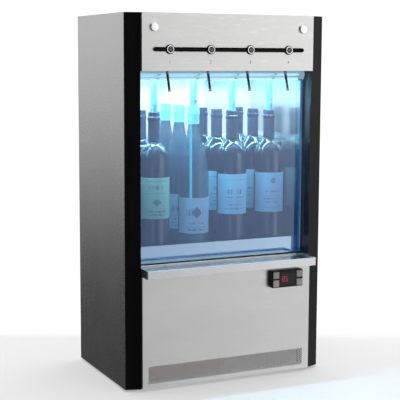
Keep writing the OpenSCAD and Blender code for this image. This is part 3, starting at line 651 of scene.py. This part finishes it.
flute = {
    "look": thin_wine, "foil": pale_foil, "slot": "bottle_flute", "node": "flute_bottles",
    "label": (22, 110), "label_radius": 38.15,
    "glass": [(20, 3), (30, 0.4), (34.6, 0.2), (36.9, 1.4), (37.9, 5), (38, 60), (38, 160), (37.3, 175),
              (35.2, 190), (32, 205), (28, 220), (23.6, 235), (19.6, 250), (16.2, 265), (13.9, 278),
              (12.8, 288), (12.6, 310), (14, 312), (14, 318), (12.8, 319.5), (12.6, 330), (12, 331)],
    "capsule": [(13.2, 289), (14.0, 289.6), (14.1, 311), (14.9, 312.6), (14.9, 318.4), (14.1, 320),
                (14.1, 330.2), (13.2, 331.3), (11.4, 331.3), (11.4, 322), (13.2, 289)],
}
shapes = [claret, flute, claret, claret]


def label_sheet(name, shape, x, y):
    low, high = shape["label"]
    bpy.ops.object.select_all(action="DESELECT")
    bpy.ops.mesh.primitive_cylinder_add(vertices=72, radius=shape["label_radius"] / 1000,
                                        depth=(high - low) / 1000, end_fill_type="NOTHING",
                                        location=at(x, y, platform_top + (low + high) / 2))
    sheet = bpy.context.object
    sheet.name = name
    bpy.ops.object.transform_apply(location=True, rotation=True, scale=True)
    left, out = math.sin(label_turn), math.cos(label_turn)
    mark(sheet, lambda c, n: n.x * left + n.y * out > -math.cos(label_reach))
    bpy.ops.mesh.delete(type="FACE")
    bpy.ops.object.mode_set(mode="OBJECT")
    modify(sheet, "paper", "SOLIDIFY", thickness=paper_thickness / 1000)
    smooth(sheet)
    return sheet


def bottle(shape, spot, x, y):
    """The glass, the capsule and the label of one bottle."""
    glass = turned("bottle" + spot, shape["glass"], 56, (x, y, platform_top))
    smooth(glass)
    capsule = turned("capsule" + spot, shape["capsule"], 40, (x, y, platform_top))
    smooth(capsule)
    return glass, capsule, label_sheet("label" + spot, shape, x, y)


def printed(name, x, low, high, paper, shade, ink_colour, marks):
    """Label paper with generic printing, placed from the bottle's own axis in mm. A mark is its kind,
    its height, its half height, its half width and its place across. In place of the half height
    a disc has the radius of its hole and a diamond has its steepness."""
    look, shader, place = surface(name, paper, 0.7)
    off_x = place.part(0) * 1000 - x
    row_offset = front_to_middle - first_row + row_pitch / 2
    off_y = (place.part(1) * 1000 + row_offset).sum("FLOORED_MODULO", row_pitch) - row_pitch / 2
    around = (off_x.sum("ARCTAN2", off_y * -1.0) + label_turn) * bottle_radius
    up = (place.part(2) - (platform_top + low + foot_height) / 1000) * 1000
    fibre = stretched(place, 700, 700, 700)
    print_mask = None
    for kind, mark_up, tall, wide, mark_around in marks:
        rise, side_step = up - mark_up, around - mark_around
        if kind == "disc":
            spread = rise * rise + side_step * side_step
            found = (spread < wide * wide) - (spread < tall * tall)
        elif kind == "diamond":
            found = (abs(rise) * tall + abs(side_step)) < wide
        else:
            found = (abs(rise) < tall) * (abs(side_step) < wide)
        if kind == "words":
            found = found * stretched(place, 900 / tall, 900, 60 / tall, 1.0, 0.4).ease(0.42, 0.62)
        print_mask = found if print_mask is None else print_mask + found
    # The paper is painted darker towards the label's foot and lighter towards its top: painted shade, as the
    # lamps light it from above.
    base = (fibre * 0.6 + up * (0.4 / (high - low))).tint(shade, paper)
    print_mask.ease(0.0, 1.0, 0.0, 0.75).tint(base, ink_colour).feed(shader, "Base Color")
    (fibre * 0.2 + 0.6).feed(shader, "Roughness")
    return look


prints = [
    ((0.28, 0.44, 0.36), (0.22, 0.38, 0.31), (0.05, 0.09, 0.08),
     [("rule", 92, 0.5, 30, 0), ("words", 76, 5, 22, 0), ("rule", 62, 0.4, 26, 0),
      ("diamond", 40, 1.4, 12, 0), ("words", 18, 2.2, 24, 0), ("words", 10, 2, 18, 0)]),
    ((0.31, 0.45, 0.56), (0.27, 0.40, 0.52), (0.04, 0.04, 0.06),
     [("diamond", 52, 0.9, 13, 0), ("words", 52, 8, 27, 0), ("words", 25, 2.6, 20, 0),
      ("rule", 16, 0.4, 26, 0), ("words", 9, 2, 22, 0)]),
    ((0.30, 0.50, 0.64), (0.25, 0.45, 0.60), (0.05, 0.09, 0.15),
     [("rule", 86, 0.4, 28, 0), ("words", 56, 6, 24, 4), ("words", 42, 2, 26, 0), ("rule", 32, 0.4, 24, 0),
      ("words", 24, 2, 20, 0), ("words", 14, 2, 24, 0)]),
    ((0.28, 0.44, 0.57), (0.23, 0.40, 0.54), (0.07, 0.03, 0.06),
     [("disc", 80, 3.2, 6.5, 2), ("diamond", 80, 1.0, 3.4, 2), ("words", 52, 2.4, 22, 0),
      ("rule", 42, 0.4, 24, 0), ("words", 34, 1.8, 22, 0), ("words", 25, 1.8, 18, 0),
      ("rule", 12, 0.4, 26, 0)]),
]
spots = [(i, "_%d_%d" % (i + 1, j + 1), x, y)
         for i, x in enumerate(columns) for j, y in enumerate(bottle_rows)]
models = {}
for i, spot, x, y in spots:
    shape = shapes[i]
    if shape["node"] not in models:
        models[shape["node"]] = bottle(shape, spot, x, y), x, y
    else:
        pieces, model_x, model_y = models[shape["node"]]
        for piece in pieces:
            again(piece, piece.name.split("_")[0] + spot, (x - model_x, y - model_y, 0))
papers = [printed("label paper %d" % (i + 1), x, *shapes[i]["label"], *prints[i])
          for i, x in enumerate(columns)]
for i, spot, x, y in spots:
    shape = shapes[i]
    fit(bpy.data.objects["bottle" + spot], shape["look"], shape["slot"], "cabinet", shape["node"])
    fit(bpy.data.objects["capsule" + spot], shape["foil"], "capsule", "cabinet", "bottle_capsules")
    fit(bpy.data.objects["label" + spot], papers[i], "label_paper", "cabinet", "bottle_labels")


# ---- stoppers, columns and draw tubes ----
# A ribbed pale rubber bung with the gas and wine passages sits in each bottle in service, and a clear sleeve
# hangs from the roof above it and holds it down. A clear tube goes through both to the bottle's foot, and
# the one in the flute shape leans to the left below the neck. Sleeves, bungs and tubes carry a painted glow
# that stands in for the lamps' cold light in them.
tube_radius, tube_bore = 3, 2.2
tube_rings = [353, 580, 592, 606, 622, 706]
tube_steps = ((615, -2), (600, -3), (585, -2))
# The sleeve's faint emission is a painted glow of the lamps' cold light in it.
clear, shader, place = surface("clear cyan sleeve", (0.26, 0.56, 0.68), 0.2, 0.0,
                               Alpha=0.65, Emission_Strength=0.05)
shader.inputs["Emission Color"].default_value = (0.35, 0.85, 1.0, 1)
stretched(place, 200, 200, 12).ease(0.3, 0.7, 0.12, 0.3).feed(shader, "Roughness")
# The bung's faint emission is a painted glow of the lamps' cold light on it.
pale_rubber, shader, place = surface("pale rubber", (0.35, 0.60, 0.68), 0.5, 0.0, Emission_Strength=0.02)
shader.inputs["Emission Color"].default_value = (0.30, 0.85, 1.0, 1)
stretched(place, 600, 600, 600).tint((0.30, 0.55, 0.64), (0.38, 0.62, 0.70)).feed(shader, "Base Color")
dress(clear, "stopper_columns")
dress(pale_rubber, "stoppers")
# The draw tube's strong emission is a painted glow, standing in for the lamps' light carried down the tube.
lit_hose, shader, place = surface("lit draw tube", (0.3, 0.8, 0.95), 0.2, 0.0, Emission_Strength=1.6)
stretched(place, 60, 60, 25).tint((0.05, 0.50, 0.85), (0.12, 0.72, 1.0)).feed(shader, "Emission Color")
outside = [(tube_radius, z) for z in tube_rings]
inside = [(tube_bore, z) for z in reversed(tube_rings)]
tube = turned("draw_tube_1", outside + inside + outside[:1], 16, (columns[0], first_row, 0))
smooth(tube)
tubes = [tube]
for n, x in enumerate(columns[1:], 2):
    tubes.append(again(tube, "draw_tube_%d" % n, (x - columns[0], 0, 0)))
take(tubes[1])
for top, step in tube_steps:
    for point in tubes[1].data.vertices:
        point.select = point.co.z * 1000 - foot_height < top
    bpy.ops.object.mode_set(mode="EDIT")
    bpy.ops.mesh.select_mode(type="VERT")
    bpy.ops.transform.translate(value=(step / 1000, 0, 0))
    bpy.ops.object.mode_set(mode="OBJECT")
for piece in tubes:
    fit(piece, lit_hose, "clear_tube", "cabinet", "dip_tubes")


# ---- glass flap ----
# Clear float glass with ground edges, clamped along its top in a polished round rail that turns in two
# bushes. Both carry a faint painted glow that stands in for the light bar's light picked up in them, and the
# rail's blue tint is a painted reflection of that light.
pane_half, pane_front, pane_back, pane_low, pane_high = 226, 44, 48, 297.3, 747
glass, shader, place = surface("clear float glass", (0.84, 0.94, 0.98), 0.0, 0.0,
                               Transmission_Weight=1.0, IOR=1.5, Emission_Strength=1.0)
# The pane's emission is a painted glow of the light bar's light in the glass.
shader.inputs["Emission Color"].default_value = (0.0, 0.013, 0.048, 1)
stretched(place, 4, 4, 4).ease(0.3, 0.8, 0.0, 0.012).feed(shader, "Roughness")
pane = slab("flap_glass", (-pane_half, pane_front, pane_low), (pane_half, pane_back, pane_high))
soften(pane, 0.6, 1)
pane.visible_shadow = False
fit(pane, glass, "flap_glass", "flap", "glass_pane")
# The rail's blue base colour is a painted reflection and its emission a painted glow of the light bar's cold
# light.
rail, shader, place = surface("polished rail steel", (0.25, 0.38, 0.50), 0.08, 1.0, Emission_Strength=1.0)
shader.inputs["Emission Color"].default_value = (0.20, 0.35, 0.43, 1)
(stretched(place, 3, 300, 300) * 0.08 + 0.05).feed(shader, "Roughness")
dress(rail, "hinge_rail")


# ---- drip tray ----
# Pressed from bright stainless sheet with a deep front lip, and closed by a darker perforated plate
# that lies in it, with one drain hole below each spout.
tray_half, tray_front, tray_back, tray_low, tray_top = 227.5, -31, 42, 273.3, 293.3
rim_width, seat_width, seat_depth, well_depth = 1.5, 2.5, 4.7, 13.8
plate_half, plate_front, plate_back, plate_low, plate_top = 224.1, -27.6, 40.1, 288.6, 289.8
drain_radius, drain_y = 4.5, 9
tray_steel = brushed("bright tray steel", (0.60, 0.61, 0.63), (0.68, 0.69, 0.71), 0.28)
tray = slab("tray_body", (-tray_half, tray_front, tray_low), (tray_half, tray_back, tray_top))
mark(tray, lambda c, n: n.z > 0.9)
for width, depth in ((rim_width, seat_depth), (seat_width, well_depth)):
    bpy.ops.mesh.inset(thickness=width / 1000)
    bpy.ops.mesh.extrude_region_move(TRANSFORM_OT_translate={"value": (0, 0, -depth / 1000)})
bpy.ops.object.mode_set(mode="OBJECT")
soften(tray, 0.8, 3)
fit(tray, tray_steel, "tray_steel", "tray", "drip_tray")
plate_steel = brushed("satin plate steel", (0.27, 0.31, 0.34), (0.34, 0.38, 0.41), 0.18)
plate = slab("tray_plate", (-plate_half, plate_front, plate_low), (plate_half, plate_back, plate_top))
for x in columns:
    drill = turned("drill", [(drain_radius, -3), (drain_radius, 3)], 24,
                   (x, drain_y, (plate_low + plate_top) / 2))
    modify(plate, "drain", "BOOLEAN", object=drill, solver="EXACT")
    bpy.data.objects.remove(drill)
soften(plate, 0.3, 1)
fit(plate, plate_steel, "drip_plate", "tray", "drip_plate")


# ---- lower front panel ----
# Brushed stainless sheet, folded back at its edges, cut out for the controller and pierced with
# a fine grille of staggered round holes along its foot.
lower_half, lower_depth, lower_low, lower_high, foot_fold = 228, 14, 3, 273, 8.5
panel_x, panel_z = 156.3, 242.5
opening_half_x, opening_half_z = 35.5, 14.5
hole_radius, grille_x, grille_z = 2.1, -211, 15
hole_step_x, hole_step_z, grille_rows, grille_pairs = 9, 5.2, 8, 47
lower = slab("lower_sheet", (-lower_half, 0, lower_low), (lower_half, lower_depth, lower_high))
mark(lower, lambda c, n: n.y > 0.9)
bpy.ops.mesh.delete(type="FACE")
bpy.ops.object.mode_set(mode="OBJECT")
for point in lower.data.vertices:
    x, y, z = point.co * 1000 + Vector((0, front_to_middle, -foot_height))
    point.select = y > lower_depth - 1 and z < lower_low + 1
bpy.ops.object.mode_set(mode="EDIT")
bpy.ops.mesh.select_mode(type="VERT")
bpy.ops.transform.translate(value=(0, (foot_fold - lower_depth) / 1000, 0))
bpy.ops.object.mode_set(mode="OBJECT")
modify(lower, "sheet", "SOLIDIFY", thickness=sheet_thickness / 1000, offset=-1)
opening = slab("drill", (panel_x - opening_half_x, -5, panel_z - opening_half_z),
               (panel_x + opening_half_x, 6, panel_z + opening_half_z))
modify(lower, "opening", "BOOLEAN", object=opening, solver="EXACT")
bpy.data.objects.remove(opening)
punch = turned("punch", [(hole_radius, -4), (hole_radius, 4)], 10, (grille_x, 0, grille_z), True)
modify(punch, "rows", "ARRAY", count=grille_rows, use_relative_offset=False, use_constant_offset=True,
       constant_offset_displace=(0, 0, hole_step_z / 1000))
again(punch, "shifted", (hole_step_x / 2, 0, hole_step_z / 2))
punch.select_set(True)
bpy.context.view_layer.objects.active = punch
bpy.ops.object.join()
modify(punch, "pairs", "ARRAY", count=grille_pairs, use_relative_offset=False, use_constant_offset=True,
       constant_offset_displace=(hole_step_x / 1000, 0, 0))
modify(lower, "grille", "BOOLEAN", object=punch, solver="MANIFOLD")
bpy.data.objects.remove(punch)
# The lower sheet's brushed steel is painted darker than the header's: painted shade low down near the floor.
shaded_lower_steel = brushed("brushed lower steel", (0.60, 0.60, 0.60), (0.72, 0.72, 0.715), 0.36)
fit(lower, shaded_lower_steel, "brushed_panel", "cabinet", "lower_front_panel")


# ---- controller ----
# A thermostat in a fine-grained black case, with a smoked display window and four soft grey keys.
# Its display shows two red digits, each made of short bars.
case_half_x, case_half_z, case_proud = 43.7, 21.5, 16
window_half_x, window_half_z, window_proud = 21.6, 14, 16.4
key_half, key_x, key_z, key_back, key_proud = 8.3, 33.2, 10.6, 13.2, 17.4
bar_half, bar_back, bar_proud = 0.7, 16.35, 16.6
case_black, shader, place = surface("fine grained black case", (0.014, 0.014, 0.015), 0.45,
                                    Specular_IOR_Level=0.25)
grain = stretched(place, 1200, 1200, 1200, 1.0)
grain.tint((0.010, 0.010, 0.011), (0.022, 0.022, 0.023)).feed(shader, "Base Color")
grain.node("Bump", None, {"Strength": 0.2, "Distance": 0.0003, "Height": grain}).feed(shader, "Normal")
case = slab("controller_box", (panel_x - case_half_x, -case_proud, panel_z - case_half_z),
            (panel_x + case_half_x, 0, panel_z + case_half_z))
soften(case, 2.2, 4)
fit(case, case_black, "controller_black", "cabinet", "controller_case")
smoked, shader, place = surface("smoked window", (0.016, 0.016, 0.015), 0.10, Specular_IOR_Level=0.28)
stretched(place, 300, 300, 300).ease(0.3, 0.7, 0.08, 0.14).feed(shader, "Roughness")
window = slab("controller_window", (panel_x - window_half_x, -window_proud, panel_z - window_half_z),
              (panel_x + window_half_x, 1 - window_proud, panel_z + window_half_z))
soften(window, 0.3)
fit(window, smoked, "display_red", "cabinet", "controller_display")
key_rubber, shader, place = surface("soft grey key", (0.32, 0.32, 0.32), 0.5)
grain = stretched(place, 1100, 1100, 1100)
grain.ease(0.3, 0.7).tint((0.38, 0.38, 0.38), (0.66, 0.66, 0.66)).feed(shader, "Base Color")
grain.node("Bump", None, {"Strength": 0.3, "Distance": 0.0004, "Height": grain}).feed(shader, "Normal")
first_x, first_z = panel_x - key_x, panel_z + key_z
key = slab("keycap_1", (first_x - key_half, -key_proud, first_z - key_half),
           (first_x + key_half, -key_back, first_z + key_half))
soften(key, 1.2, 3)
keys = [key, again(key, "keycap_2", (0, 0, -2 * key_z)), again(key, "keycap_3", (2 * key_x, 0, 0)),
        again(key, "keycap_4", (2 * key_x, 0, -2 * key_z))]
for n, piece in enumerate(keys, 1):
    fit(piece, key_rubber, "key_grey", "key_%d" % n, "key_%d" % n)
lit, shader, place = surface("lit red segments", (0.3, 0.01, 0.03), 0.4, Emission_Strength=0.55)
stretched(place, 400, 400, 400).tint((0.55, 0.01, 0.05), (0.60, 0.02, 0.07)).feed(shader, "Emission Color")
bars = {"a": (0, 6, 4, 0), "b": (2.6, 3, 0, 4.6), "c": (2.6, -3, 0, 4.6), "d": (0, -6, 4, 0),
        "e": (-2.6, -3, 0, 4.6), "f": (-2.6, 3, 0, 4.6), "g": (0, 0, 4, 0)}
for digit, digit_x, lit_bars in (("8", -12.5, "abcdefg"), ("5", -3.5, "afgcd")):
    for bar in lit_bars:
        bar_x, bar_z, long_x, long_z = bars[bar]
        x, z = panel_x + digit_x + bar_x, panel_z + bar_z
        half_x, half_z = long_x / 2 + bar_half, long_z / 2 + bar_half
        segment = slab("segment_%s_%s" % (digit, bar), (x - half_x, -bar_proud, z - half_z),
                       (x + half_x, -bar_back, z + half_z))
        soften(segment, 0.3, 1)
        fit(segment, lit, "display_red", "cabinet")
